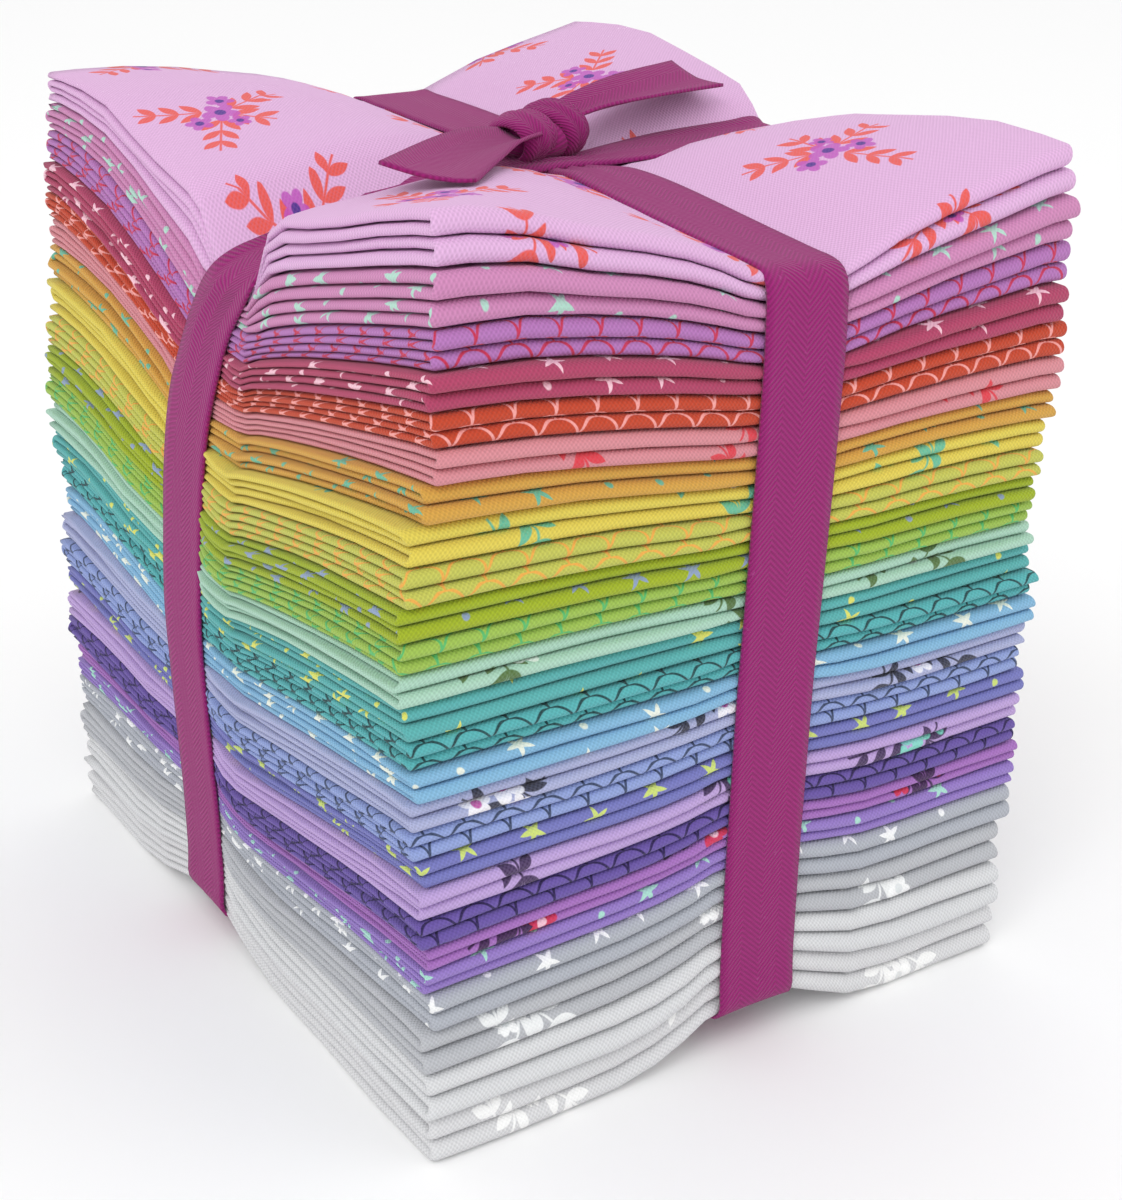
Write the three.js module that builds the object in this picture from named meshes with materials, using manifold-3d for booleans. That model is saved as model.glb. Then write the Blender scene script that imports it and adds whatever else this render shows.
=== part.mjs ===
// A bundle of 26 fat quarters: cotton cuts, each folded to a strip and then back and forth in four
// passes, stacked in rainbow order and tied crosswise with one twill tape, knotted on top.
// Millimetres, +Z up. The fold rounds face -Y and +Y, the strip's edges face -X and +X.
// The origin is on the resting surface, under the middle of the stack.
import * as THREE from "three";
import { mergeVertices } from "three/addons/utils/BufferGeometryUtils.js";
import Module from "manifold-3d";

// Driving sizes of a folded cut
const STRIP_WIDTH = 114.3; // 4.5 in: an 18 in cut folded in four
const PASS_LENGTH = 139.7; // 5.5 in: a 22 in strip folded back and forth in four passes
const PASS_COUNT = 4;
const PASS_GAP = 0.12; // between the passes of one cut
const PIECE_GAP = 0.4; // between neighbouring cuts
const CUT_END_INSET = 1; // the raw ends stop short of the back round
const ROUND_ANGLES = [35, -35]; // degrees, the points between the ends of a fold's half round

// How the tie squeezes the stack: dip at the left end of its short way and at the front end of its long way
const DIPS = [
  { level: 0, short: 0, long: 0 },
  { level: 0.2, short: 4, long: 0 },
  { level: 0.3, short: 6.6, long: 0 },
  { level: 0.46, short: 8.2, long: 0.8 },
  { level: 0.63, short: 11, long: 2 },
  { level: 0.75, short: 13.4, long: 5 },
  { level: 0.82, short: 16.4, long: 7 },
  { level: 0.9, short: 18.6, long: 10.5 },
  { level: 0.95, short: 20.4, long: 13 },
  { level: 1, short: 23, long: 15.8 },
];
// Share of that dip along each way, from left to right or from front to back
const WAYS = [
  { at: -1, short: 1, long: 1 },
  { at: 0, short: 0.48, long: 0.66 },
  { at: 1, short: 0.46, long: 0.72 },
];
const LOBE_CROWN = 3.2; // swell of the four top lobes
const NEAR_FLATTER = 1.9; // the near lobe lies flatter than the other three
const CROWN_POWER = 5; // how fast it fades downwards
const RISE_POWER = 4; // how fast the underside's rise over the tape fades upwards
const PRESS = 1; // how far the tape presses the sides in

// Where the tape lies, as shares of the half size: the long way off the middle, the short way slanting
const TIE_ACROSS = 0.09;
const TIE_ALONG = { top: 0, below: 0.1 };

// Stations across the strip and along a pass, as shares of the half size
const TAPE_SHARE = 0.13; // the tape's half width
const ACROSS = [-1, -0.5, TIE_ACROSS - TAPE_SHARE, TIE_ACROSS + TAPE_SHARE, 0.5, 1];
const ALONG = [-1, -0.45, 0, 0.45, 1];

// Share of the dip beside the tape: from front to back, and away from the long way's middle
const VALLEY_SHORT = [
  { at: -1, share: 0.06 },
  { at: -0.45, share: 0.52 },
  { at: 0, share: 1 },
  { at: 0.45, share: 0.36 },
  { at: 1, share: 0 },
];
const VALLEY_LONG = [
  { at: 0, share: 1 },
  { at: TAPE_SHARE, share: 1 },
  { at: 0.45, share: 0.52 },
  { at: 0.61, share: 0.37 },
  { at: 1, share: 0 },
];
// The underside's rise over the tape, away from its middle
const RISE = [
  { at: 0, short: 8.1, long: 6 },
  { at: TAPE_SHARE, short: 5.1, long: 6 },
  { at: 0.35, short: 0, long: 1.3 },
  { at: 0.4, short: 0, long: 0 },
  { at: 1, short: 0, long: 0 },
];

// Uneven heights of the stack's corners
const CORNERS = [
  { level: 0, near: 0, left: 0, right: 0, back: 0 },
  { level: 0.25, near: 0.6, left: -3.4, right: 3, back: -1 },
  { level: 0.5, near: 0.6, left: -0.6, right: 1, back: 0 },
  { level: 0.75, near: 2.4, left: 4, right: -4, back: 1 },
  { level: 0.9, near: 3.4, left: 2.4, right: -2, back: 1 },
  { level: 1, near: 3.2, left: -2.4, right: -2, back: 1 },
];
// Uneven sides of the stack: outward and inward shifts along x or y
const SIDES = [
  { level: 0, left: -0.7, right: -0.7, front: 0.2, back: 0 },
  { level: 0.2, left: -0.9, right: 0.9, front: 0.9, back: -0.2 },
  { level: 0.45, left: -2.1, right: 0.6, front: 1.1, back: 0.1 },
  { level: 0.7, left: -1, right: -0.5, front: 0, back: 0.5 },
  { level: 0.9, left: 1.2, right: 0.2, front: -0.8, back: -0.2 },
  { level: 1, left: 2.2, right: -1.2, front: 0, back: -1.2 },
];

// The cuts from top to bottom: folded height, own shift, own turn in degrees and main colour
const CUTS = [
  { height: 7.4, x: 0.3, y: 0.2, turn: 0.1, colour: 0xedb4dc },
  { height: 6.7, x: 0.4, y: -0.1, turn: 0, colour: 0xe29bcb },
  { height: 5.9, x: 0.3, y: 0.1, turn: 0.2, colour: 0xc77bd0 },
  { height: 5.6, x: -0.4, y: -0.4, turn: 0.2, colour: 0xcf5070 },
  { height: 5.3, x: 0.6, y: -0.3, turn: 0.4, colour: 0xdf5129 },
  { height: 5.2, x: 0.9, y: -0.3, turn: 0.3, colour: 0xefa0aa },
  { height: 5.6, x: 0.9, y: -0.1, turn: 0.1, colour: 0xe8ae45 },
  { height: 5.7, x: 0.4, y: 0.2, turn: -0.2, colour: 0xefdd55 },
  { height: 5.4, x: -0.4, y: -0.1, turn: -0.4, colour: 0xd9dc6a },
  { height: 5.0, x: -1.4, y: -0.6, turn: -0.6, colour: 0xa9c42f },
  { height: 4.9, x: -1.4, y: 0.1, turn: -0.4, colour: 0xb2dc6a },
  { height: 4.7, x: -0.8, y: 0.5, turn: -0.4, colour: 0xb9e4d2 },
  { height: 5.2, x: -0.4, y: 0.4, turn: -0.3, colour: 0x5dbfb0 },
  { height: 5.0, x: 0.6, y: -0.2, turn: -0.4, colour: 0x56c2b2 },
  { height: 4.9, x: 1, y: -0.6, turn: -0.4, colour: 0x8cc4ea },
  { height: 4.7, x: 0.2, y: 0, turn: -0.1, colour: 0xc2c8f0 },
  { height: 5.0, x: -0.3, y: 0.3, turn: 0.1, colour: 0x9aa6e2 },
  { height: 4.6, x: 0.6, y: 0.5, turn: 0.4, colour: 0x7f80d2 },
  { height: 4.9, x: -0.4, y: -0.2, turn: 0.5, colour: 0xcdb0e6 },
  { height: 4.6, x: -0.6, y: 0, turn: 0.4, colour: 0x7f66c8 },
  { height: 4.1, x: 0.6, y: 0.2, turn: 0.5, colour: 0xc07fd6 },
  { height: 4.2, x: 0.5, y: -0.1, turn: 0.4, colour: 0xa486dc },
  { height: 6.6, x: 0.4, y: 0.3, turn: 0.6, colour: 0xbfc5c8 },
  { height: 7.2, x: -0.3, y: -0.3, turn: 0.4, colour: 0xbcc2c5 },
  { height: 7.6, x: -0.4, y: -0.2, turn: 0.3, colour: 0xe6e7e7 },
  { height: 8.5, x: 0.3, y: 0.1, turn: 0.4, colour: 0xe9eaea },
];
const STACK_HEIGHT = CUTS.reduce((sum, cut) => sum + cut.height, 0);

// The tape: one length round both ways, a knot and two free ends
const TAPE_WIDTH = 14.6;
const TAPE_THICK = 1;
const TAPE_CLEAR = 0.85; // to the cloth under it
const TAPE_BELOW = 1.1; // the same under the stack
const TAPE_EDGE_OUT = 0.5; // its edges stand off the bulging strip edges
const TAPE_STEP = { top: 1.5, below: 0.9 }; // the second way lies this much over the first where they cross
const TAPE_LEVELS = SIDES.map((row) => row.level);
const TAPE_COLOUR = 0xa2307f;
const KNOT_LUMPS = [
  { x: 0, y: -0.5, up: 4.2, rx: 7, ry: 5.5, rz: 4.2 },
  { x: 8, y: 1, up: 4.6, rx: 4, ry: 6.5, rz: 4.8 },
];
const END_CLEAR = 1.6; // from the cloth to a free end over it
// Free ends from the knot out: place, height over the crossing, half width and how far it is cupped
const FREE_ENDS = [
  [
    { x: 0, y: -2, up: 4.2, half: 4, cup: 1.5 },
    { x: -11, y: -11, up: 5.4, half: 5, cup: 2 },
    { x: -23, y: -22, up: 6.6, half: 6, cup: 1.4 },
    { x: -35, y: -33, up: 7.6, half: 7, cup: 0.8 },
  ],
  [
    { x: 7, y: 1.5, up: 5, half: 4, cup: 1 },
    { x: 17, y: 4, up: 6.6, half: 5, cup: 1.5 },
    { x: 29, y: 7, up: 7.6, half: 5.5, cup: 1.8 },
    { x: 44, y: 10, up: 8.6, half: 5.5, cup: 1.6 },
  ],
];

const HALF_WIDTH = STRIP_WIDTH / 2;
const HALF_LENGTH = PASS_LENGTH / 2;
const wasm = await Module();
wasm.setup();

// Straight-line reading of a table with an ascending key column
function readTable(table, key, column, value) {
  const last = table.length - 1;
  if (value >= table[last][key]) return table[last][column];
  const next = Math.max(1, table.findIndex((row) => row[key] > value));
  const [low, high] = [table[next - 1], table[next]];
  const share = Math.max(0, (value - low[key]) / (high[key] - low[key]));
  return low[column] + share * (high[column] - low[column]);
}

// Dip of the stack under the tie at shares u and v of the half sizes
function dipAt(u, v, level) {
  const shortEnd = readTable(DIPS, "level", "short", level) * readTable(WAYS, "at", "short", u);
  const longEnd = readTable(DIPS, "level", "long", level) * readTable(WAYS, "at", "long", v);
  const short = shortEnd * readTable(VALLEY_SHORT, "at", "share", v);
  const long = longEnd * readTable(VALLEY_LONG, "at", "share", Math.abs(u - TIE_ACROSS));
  return Math.max(short, long);
}

function riseAt(u, v) {
  const short = readTable(RISE, "at", "short", Math.abs(v - TIE_ALONG.below));
  const long = readTable(RISE, "at", "long", Math.abs(u - TIE_ACROSS));
  return Math.max(short, long);
}

function cornerLift(u, v, level) {
  const lift = (corner) => readTable(CORNERS, "level", corner, level);
  const front = lift("near") * (1 - u) + lift("right") * (1 + u);
  const back = lift("left") * (1 - u) + lift("back") * (1 + u);
  return (front * (1 - v) + back * (1 + v)) / 4;
}

function lobeCrown(u, v) {
  const hump = (s, start) => {
    const share = 0.85 * Math.min(1, Math.max(0, (Math.abs(s) - start) / (1 - start)));
    return 4 * share * (1 - share);
  };
  const swell = LOBE_CROWN * (1 - (NEAR_FLATTER * (1 - u) * (1 - v)) / 4);
  return swell * hump(u - TIE_ACROSS, TAPE_SHARE) * hump(v - TIE_ALONG.top, 0);
}

// Height of the squeezed stack at a level from 0, its underside, to 1, its top
function heightAt(u, v, level) {
  const free = level * STACK_HEIGHT + cornerLift(u, v, level);
  const crown = level ** CROWN_POWER * lobeCrown(u, v);
  return free - dipAt(u, v, level) + crown + (1 - level) ** RISE_POWER * riseAt(u, v);
}

// The same between stations, as the flat facets of the cloth have it
function facetHeight(u, v, level) {
  const next = Math.max(1, ALONG.findIndex((s) => s >= v));
  const [low, high] = [ALONG[next - 1], ALONG[next]];
  const share = (v - low) / (high - low);
  return (1 - share) * heightAt(u, low, level) + share * heightAt(u, high, level);
}

// Shift of the stack's side that faces a way along an axis
function sideShift(axis, way, level) {
  const sides = axis === "x" ? ["left", "right"] : ["front", "back"];
  return readTable(SIDES, "level", sides[way < 0 ? 0 : 1], level);
}

// A cut's station point: inner stations are shared, outer ones follow the cut, or the tape that presses
function stationPoint(cut, level, i, j) {
  const turn = THREE.MathUtils.degToRad(cut.turn);
  const u = ACROSS[i];
  const v = ALONG[j];
  let x = u * HALF_WIDTH;
  let y = v * HALF_LENGTH;
  const pressedX = v === 0;
  const pressedY = i === 2 || i === 3;
  if (Math.abs(u) === 1) {
    x += sideShift("x", u, level) + (pressedX ? -u * PRESS : cut.x - turn * v * HALF_LENGTH);
  }
  if (Math.abs(v) === 1) {
    y += sideShift("y", v, level) + (pressedY ? -v * PRESS : cut.y + turn * u * HALF_WIDTH);
  }
  return { x, y, u: x / HALF_WIDTH, v: y / HALF_LENGTH };
}

// The outline of a folded cut, walked round: pass faces, and the half rounds that join two passes
const SECTION_WALK = [
  { pass: 0, side: "top", forwards: false },
  { round: 0, front: true },
  { pass: 1, side: "bottom", forwards: true },
  { pass: 2, side: "top", forwards: false },
  { round: 2, front: true },
  { pass: 3, side: "bottom", forwards: true },
  { pass: 3, side: "top", forwards: false },
  { pass: 2, side: "bottom", forwards: true },
  { round: 1, front: false },
  { pass: 1, side: "top", forwards: false },
  { pass: 0, side: "bottom", forwards: true },
];

// One section of a cut: the outline of its four passes at an x station
function cutSection(cut, i, isTop, isBottom) {
  const middle = (cut.low + cut.high) / 2;
  const lastJ = ALONG.length - 1;
  const columns = ALONG.map((_, j) => {
    const at = stationPoint(cut, middle, i, j);
    const high = heightAt(at.u, at.v, cut.high) - (isTop ? 0 : PIECE_GAP / 2);
    const low = heightAt(at.u, at.v, cut.low) + (isBottom ? 0 : PIECE_GAP / 2);
    const thick = (high - low - (PASS_COUNT - 1) * PASS_GAP) / PASS_COUNT;
    const round = thick + PASS_GAP / 2;
    const inset = j === 0 ? round : j === lastJ ? -round : 0;
    return { x: at.x, y: at.y + inset, high, thick, j };
  });
  const points = [];
  const face = (pass, side, forwards) => {
    const list = forwards ? columns : [...columns].reverse();
    for (const c of list) {
      const top = c.high - pass * (c.thick + PASS_GAP);
      const rawEnd = c.j === lastJ && (pass === 0 || pass === PASS_COUNT - 1);
      const y = rawEnd ? c.y - CUT_END_INSET : c.y;
      points.push({ x: c.x, y, z: side === "top" ? top : top - c.thick });
    }
  };
  const halfRound = (upper, j, outwards, upwards) => {
    const c = columns[j];
    const reach = c.thick + PASS_GAP / 2;
    const centre = c.high - upper * (c.thick + PASS_GAP) - reach;
    const angles = upwards ? [...ROUND_ANGLES].reverse() : ROUND_ANGLES;
    for (const degrees of angles) {
      const angle = THREE.MathUtils.degToRad(degrees);
      const y = c.y + outwards * reach * Math.cos(angle);
      points.push({ x: c.x, y, z: centre + reach * Math.sin(angle) });
    }
  };
  for (const step of SECTION_WALK) {
    if (step.round === undefined) face(step.pass, step.side, step.forwards);
    else halfRound(step.round, step.front ? 0 : lastJ, step.front ? -1 : 1, !step.front);
  }
  return points;
}

// Facets of a section's end: each pass in columns, each fold as a fan
function capFacets() {
  const start = new Map();
  let count = 0;
  for (const step of SECTION_WALK) {
    start.set(step, count);
    count += step.round === undefined ? ALONG.length : ROUND_ANGLES.length;
  }
  const pointAt = (pass, side, j) => {
    const step = SECTION_WALK.find((s) => s.pass === pass && s.side === side);
    return start.get(step) + (step.forwards ? j : ALONG.length - 1 - j);
  };
  const facets = [];
  for (let pass = 0; pass < PASS_COUNT; pass += 1) {
    for (let j = 0; j < ALONG.length - 1; j += 1) {
      const [topNear, topFar] = [pointAt(pass, "top", j), pointAt(pass, "top", j + 1)];
      const [lowNear, lowFar] = [pointAt(pass, "bottom", j), pointAt(pass, "bottom", j + 1)];
      facets.push([lowNear, lowFar, topFar], [lowNear, topFar, topNear]);
    }
  }
  for (const step of SECTION_WALK.filter((s) => s.round !== undefined)) {
    const j = step.front ? 0 : ALONG.length - 1;
    const arc = ROUND_ANGLES.map((_, k) => start.get(step) + k);
    const upper = [pointAt(step.round, "bottom", j), pointAt(step.round, "top", j)];
    const lower = [pointAt(step.round + 1, "bottom", j), pointAt(step.round + 1, "top", j)];
    const fan = step.front ? [...upper, ...arc, ...lower] : [...lower.reverse(), ...arc, ...upper.reverse()];
    for (let k = 1; k < fan.length - 1; k += 1) facets.push([fan[0], fan[k], fan[k + 1]]);
  }
  return facets;
}
const CAP_FACETS = capFacets();

function meshGeometry(points, triangles) {
  const geometry = new THREE.BufferGeometry();
  const flat = points.flatMap((p) => [p.x, p.y, p.z]);
  geometry.setAttribute("position", new THREE.Float32BufferAttribute(flat, 3));
  geometry.setIndex(triangles);
  return geometry;
}

// A folded cut: its sections joined from side to side and capped
function foldedCut(cut, isTop, isBottom) {
  const sections = ACROSS.map((_, i) => cutSection(cut, i, isTop, isBottom));
  const count = sections[0].length;
  const triangles = [];
  for (let i = 0; i < ACROSS.length - 1; i += 1) {
    for (let p = 0; p < count; p += 1) {
      const q = (p + 1) % count;
      const [a, b, c, d] = [i * count + p, i * count + q, (i + 1) * count + q, (i + 1) * count + p];
      const from = sections[i][p];
      const to = sections[i][q];
      // The facets' diagonals run from the middle to the corners on every face alike
      const towardsBack = to.y > from.y;
      const sameSign = (from.y + to.y) * (ACROSS[i] + ACROSS[i + 1]) > 0;
      if (towardsBack === sameSign) triangles.push(a, b, c, a, c, d);
      else triangles.push(a, b, d, b, c, d);
    }
  }
  const capAt = (i, flip) => {
    for (const [a, b, c] of CAP_FACETS) {
      const corners = flip ? [a, c, b] : [a, b, c];
      triangles.push(...corners.map((k) => i * count + k));
    }
  };
  capAt(0, true);
  capAt(ACROSS.length - 1, false);
  return meshGeometry(sections.flat(), triangles);
}

// A strip of tape: stations of left, middle and right points on its inner face and the way it faces
function tapeStrip(stations, closed) {
  const points = [];
  for (const { inner, facing } of stations) {
    const lift = new THREE.Vector3(...facing).normalize().multiplyScalar(TAPE_THICK);
    const outer = inner.map((p) => ({ x: p.x + lift.x, y: p.y + lift.y, z: p.z + lift.z }));
    points.push(outer[0], outer[1], outer[2], inner[2], inner[1], inner[0]);
  }
  const triangles = [];
  const ring = points.length / stations.length;
  const spans = closed ? stations.length : stations.length - 1;
  for (let i = 0; i < spans; i += 1) {
    const next = (i + 1) % stations.length;
    for (let p = 0; p < ring; p += 1) {
      const q = (p + 1) % ring;
      const [a, b, c, d] = [i * ring + p, i * ring + q, next * ring + q, next * ring + p];
      triangles.push(a, b, c, a, c, d);
    }
  }
  if (!closed) {
    const last = (stations.length - 1) * ring;
    triangles.push(0, 5, 4, 0, 4, 1, 1, 4, 3, 1, 3, 2);
    triangles.push(last, last + 4, last + 5, last, last + 1, last + 4);
    triangles.push(last + 1, last + 3, last + 4, last + 1, last + 2, last + 3);
  }
  return meshGeometry(points, triangles);
}

// One way round the stack: up the low side, over the top, down the high side and back underneath
function tapeLoop(axis, shares, step) {
  const halfRun = axis === "y" ? HALF_LENGTH : HALF_WIDTH;
  const halfCross = axis === "y" ? HALF_WIDTH : HALF_LENGTH;
  const leftSide = axis === "y" ? -TAPE_WIDTH / 2 : TAPE_WIDTH / 2;
  const slant = TIE_ALONG.top - TIE_ALONG.below;
  const tieAt = (value) => (axis === "y" ? TIE_ACROSS : TIE_ALONG.below + slant * value) * halfCross;
  const stations = [];
  const add = (value, runAt, heightOf, runFacing, upFacing) => {
    const inner = [leftSide, 0, -leftSide].map((offset) => {
      const edge = axis === "x" && offset !== 0;
      const run = runAt(edge ? TAPE_EDGE_OUT : 0);
      const cross = tieAt(value) + offset;
      const z = heightOf(cross / halfCross, edge);
      return axis === "y" ? { x: cross, y: run, z } : { x: run, y: cross, z };
    });
    const facing = axis === "y" ? [0, runFacing, upFacing] : [runFacing, 0, upFacing];
    stations.push({ inner, facing });
  };
  const level = (share, value) => (cross) =>
    axis === "y" ? heightAt(cross, share, value) : facetHeight(share, cross, value);
  const faceAt = (side, value, clear) => (edgeOut) =>
    side * (halfRun - PRESS + (clear ? TAPE_CLEAR + edgeOut : 0)) + sideShift(axis, side, value);
  const shareAt = (side, value) => faceAt(side, value, false)(0) / halfRun;
  const standOff = (edge) => TAPE_CLEAR + (edge ? TAPE_EDGE_OUT : 0);
  const above = (share) => (cross, edge) => level(share, 1)(cross) + standOff(edge) + step(share, "top");
  const below = (share) => (cross) => level(share, 0)(cross) - TAPE_BELOW - step(share, "below");
  const upFacing = (value) => (value === 1 ? 0.4 : value === 0 ? -0.4 : 0);
  const inside = shares.slice(1, -1);
  const downLevels = [...TAPE_LEVELS].reverse();
  const upSide = (side) => (value) =>
    add(value, faceAt(side, value, true), level(shareAt(side, value), value), side, upFacing(value));
  TAPE_LEVELS.forEach(upSide(-1));
  add(1, faceAt(-1, 1, false), above(shareAt(-1, 1)), -0.4, 1);
  for (const share of inside) add(1, () => share * halfRun, above(share), 0, 1);
  add(1, faceAt(1, 1, false), above(shareAt(1, 1)), 0.4, 1);
  downLevels.forEach(upSide(1));
  add(0, faceAt(1, 0, false), below(shareAt(1, 0)), 0.4, -1);
  for (const share of [...inside].reverse()) add(0, () => share * halfRun, below(share), 0, -1);
  add(0, faceAt(-1, 0, false), below(shareAt(-1, 0)), -0.4, -1);
  return tapeStrip(stations, true);
}

// A free end: a cupped strip from the knot out to its cut
function freeEnd(rows, crossing) {
  const stations = rows.map((row, k) => {
    const before = rows[Math.max(0, k - 1)];
    const after = rows[Math.min(rows.length - 1, k + 1)];
    const run = new THREE.Vector2(after.x - before.x, after.y - before.y).normalize();
    const at = (side) => {
      const x = row.x - side * row.half * run.y;
      const y = row.y + side * row.half * run.x;
      const cloth = facetHeight(x / HALF_WIDTH, y / HALF_LENGTH, 1);
      return { x, y, z: Math.max(crossing + row.up + Math.abs(side) * row.cup, cloth + END_CLEAR) };
    };
    return { inner: [at(1), at(0), at(-1)], facing: [0, 0, 1] };
  });
  return tapeStrip(stations, false);
}

function knotLump(lump, crossing) {
  const ball = new THREE.SphereGeometry(1, 12, 8);
  ball.scale(lump.rx, lump.ry, lump.rz);
  ball.translate(lump.x, lump.y, crossing + lump.up);
  return ball;
}

function solidOf(geometry) {
  const bare = geometry.clone();
  bare.deleteAttribute("normal");
  bare.deleteAttribute("uv");
  const merged = mergeVertices(bare);
  const triVerts = new Uint32Array(merged.index.array);
  const vertProperties = merged.attributes.position.array;
  return new wasm.Manifold(new wasm.Mesh({ numProp: 3, vertProperties, triVerts }));
}

// The whole tape as one solid
function tiedTape() {
  const crossing = heightAt(TIE_ACROSS, TIE_ALONG.top, 1) + TAPE_CLEAR;
  const pieces = [
    tapeLoop("y", ALONG, () => 0),
    tapeLoop("x", ACROSS, (share, side) => (Math.abs(share) < 0.6 ? TAPE_STEP[side] : 0)),
    ...FREE_ENDS.map((rows) => freeEnd(rows, crossing)),
    ...KNOT_LUMPS.map((lump) => knotLump(lump, crossing)),
  ];
  const joined = pieces.map(solidOf).reduce((whole, piece) => whole.add(piece));
  const { vertProperties, triVerts } = joined.getMesh();
  const geometry = new THREE.BufferGeometry();
  geometry.setAttribute("position", new THREE.BufferAttribute(vertProperties, 3));
  geometry.setIndex(new THREE.BufferAttribute(triVerts, 1));
  return geometry;
}

function clothMesh(name, geometry, colour) {
  const material = new THREE.MeshStandardMaterial({ color: colour, roughness: 0.9, metalness: 0 });
  const mesh = new THREE.Mesh(geometry, material);
  mesh.name = name;
  return mesh;
}

const bundle = new THREE.Group();
let levelTop = STACK_HEIGHT;
CUTS.forEach((cut, index) => {
  const high = levelTop / STACK_HEIGHT;
  levelTop -= cut.height;
  const low = Math.max(0, levelTop / STACK_HEIGHT);
  const geometry = foldedCut({ ...cut, high, low }, index === 0, index === CUTS.length - 1);
  const name = `fat_quarter_${String(index + 1).padStart(2, "0")}`;
  bundle.add(clothMesh(name, geometry, cut.colour));
});
bundle.add(clothMesh("tape", tiedTape(), TAPE_COLOUR));

export default bundle;
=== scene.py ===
# Looks of the fat quarter bundle: 26 cotton cuts, each one sheet folded in four along its width and then
# back and forth in four passes, stacked in rainbow order and tied crosswise with one twill tape.
# Shapes are worked out in millimetres in the CAD's own frame and made in metres.
import math
from collections import namedtuple

import bpy
import numpy as np
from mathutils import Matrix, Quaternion, Vector


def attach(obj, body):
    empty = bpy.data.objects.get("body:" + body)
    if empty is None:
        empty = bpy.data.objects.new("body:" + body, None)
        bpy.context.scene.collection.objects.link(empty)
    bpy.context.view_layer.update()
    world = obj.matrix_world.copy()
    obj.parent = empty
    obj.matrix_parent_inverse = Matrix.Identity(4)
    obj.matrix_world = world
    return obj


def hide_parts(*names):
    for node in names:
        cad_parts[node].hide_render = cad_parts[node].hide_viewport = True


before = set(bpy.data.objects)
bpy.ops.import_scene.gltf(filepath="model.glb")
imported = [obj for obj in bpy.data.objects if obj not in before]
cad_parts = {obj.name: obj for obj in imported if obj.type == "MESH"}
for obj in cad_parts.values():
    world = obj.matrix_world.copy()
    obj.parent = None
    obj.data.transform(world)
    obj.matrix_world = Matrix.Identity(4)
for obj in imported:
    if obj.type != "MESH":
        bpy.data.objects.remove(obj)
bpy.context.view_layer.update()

MM = 0.001
SEED = 26

# Sizes of a folded cut
STRIP_WIDTH = 114.3
PASS_LENGTH = 139.7
PASS_COUNT = 4
PASS_GAP = 0.14
PIECE_GAP = 0.3
LAYER_SHARE = 0.62  # a layer's own thickness as a share of its room
CUT_END_INSET = 1.2
PASS_SPREAD = 0.16  # how much the passes of a cut differ in thickness
EDGE_SCATTER = 0.32
FOLD_SCATTER = 0.38
END_RAGGED = (-0.9, 0.5)
END_ZONE = 0.1
SIDE_REACH = 0.45  # how far the side and the fold rounds stand out, in thicknesses of a pass
FOLD_REACH = 0.95
HALF_WIDTH = STRIP_WIDTH / 2
HALF_LENGTH = PASS_LENGTH / 2

# How the tie squeezes the stack: level, dip at the left end of its short way and how far that lies off the
# tape's middle, dip at the front end of its long way
DIPS = [
    (0, 0, 0, 0), (0.2, 4, -4, 0), (0.3, 6.6, -7, 0), (0.46, 8.2, -9, 0.8), (0.63, 11, -8, 2), (0.75, 13.4, -4, 5),
    (0.82, 16.4, -2, 7), (0.9, 18.6, -1, 10.5), (0.95, 20.4, 0, 13), (1, 23, 0, 15.8),
]
# Share of the dip along each way: place from left to right or from front to back, short way, long way
WAYS = [(-1, 1, 1), (-0.85, 0.88, 0.92), (0, 0.48, 0.66), (0.85, 0.46, 0.7), (1, 0.46, 0.72)]
# Share of the dip away from the tape's middle, in half sizes: on top, then deeper in the stack
VALLEY_SHORT = [
    (0, 1, 1), (0.09, 1, 1), (0.13, 0.74, 1), (0.18, 0.53, 0.9), (0.24, 0.45, 0.8), (0.34, 0.4, 0.64),
    (0.5, 0.29, 0.42), (0.74, 0.1, 0.16), (1, 0, 0),
]
VALLEY_LONG = [
    (0, 1, 1), (0.11, 1, 1), (0.2, 0.84, 0.86), (0.31, 0.66, 0.7), (0.45, 0.5, 0.52), (0.61, 0.36, 0.37),
    (0.8, 0.16, 0.16), (1, 0, 0),
]
SHARP_FROM = 0.9
SPREAD = (0.75, 1.2)  # stretches the distance on the near and on the far side, deeper in the stack
# The underside's rise under the tape: distance in half sizes, short way, long way
RISE = [(0, 4.6, 7), (0.12, 4.4, 6.8), (0.25, 2, 4), (0.44, 0, 0.2), (0.6, 0, 0), (1, 0, 0)]
RISE_POWER = 4
JOIN_POWER = 6  # how sharply the two ways of the tie meet
LOBE_CROWN = 3.2
LOBE_SPAN = (0.13, 0.87, 0.85)  # where a lobe starts, its width and how much of its hump shows
CROWN_POWER = 5
NEAR_FLATTER = 1.9
PRESS = 1
PRESS_REACH = 11
# Low waves in the stack and along a cut's edges, in millimetres
RELIEF = (0.22, 0.2, 0.15)
EDGE_WAVES = (0.2, 0.12)
# Lift of the stack's corners: level, near, left, right, back
CORNERS = [
    (0, 0, 0, 0, 0), (0.25, 0.6, -3.4, 3, -1), (0.5, 0.6, -0.6, 1, 0), (0.75, 2.4, 4, -4, 1),
    (0.9, 3.4, 2.4, -2, 1), (1, 3.2, -2.4, -2, 1),
]
# Shift of the stack's sides: level, left, right, front, back
SIDES = [
    (0, -0.7, -0.7, 0.2, 0), (0.2, -0.9, 0.9, 0.9, -0.2), (0.45, -2.1, 0.6, 1.1, 0.1),
    (0.7, -1, -0.5, 0, 0.5), (0.9, 1.2, 0.2, -0.8, -0.2), (1, 2.2, -1.2, 0, -1.2),
]
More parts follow.
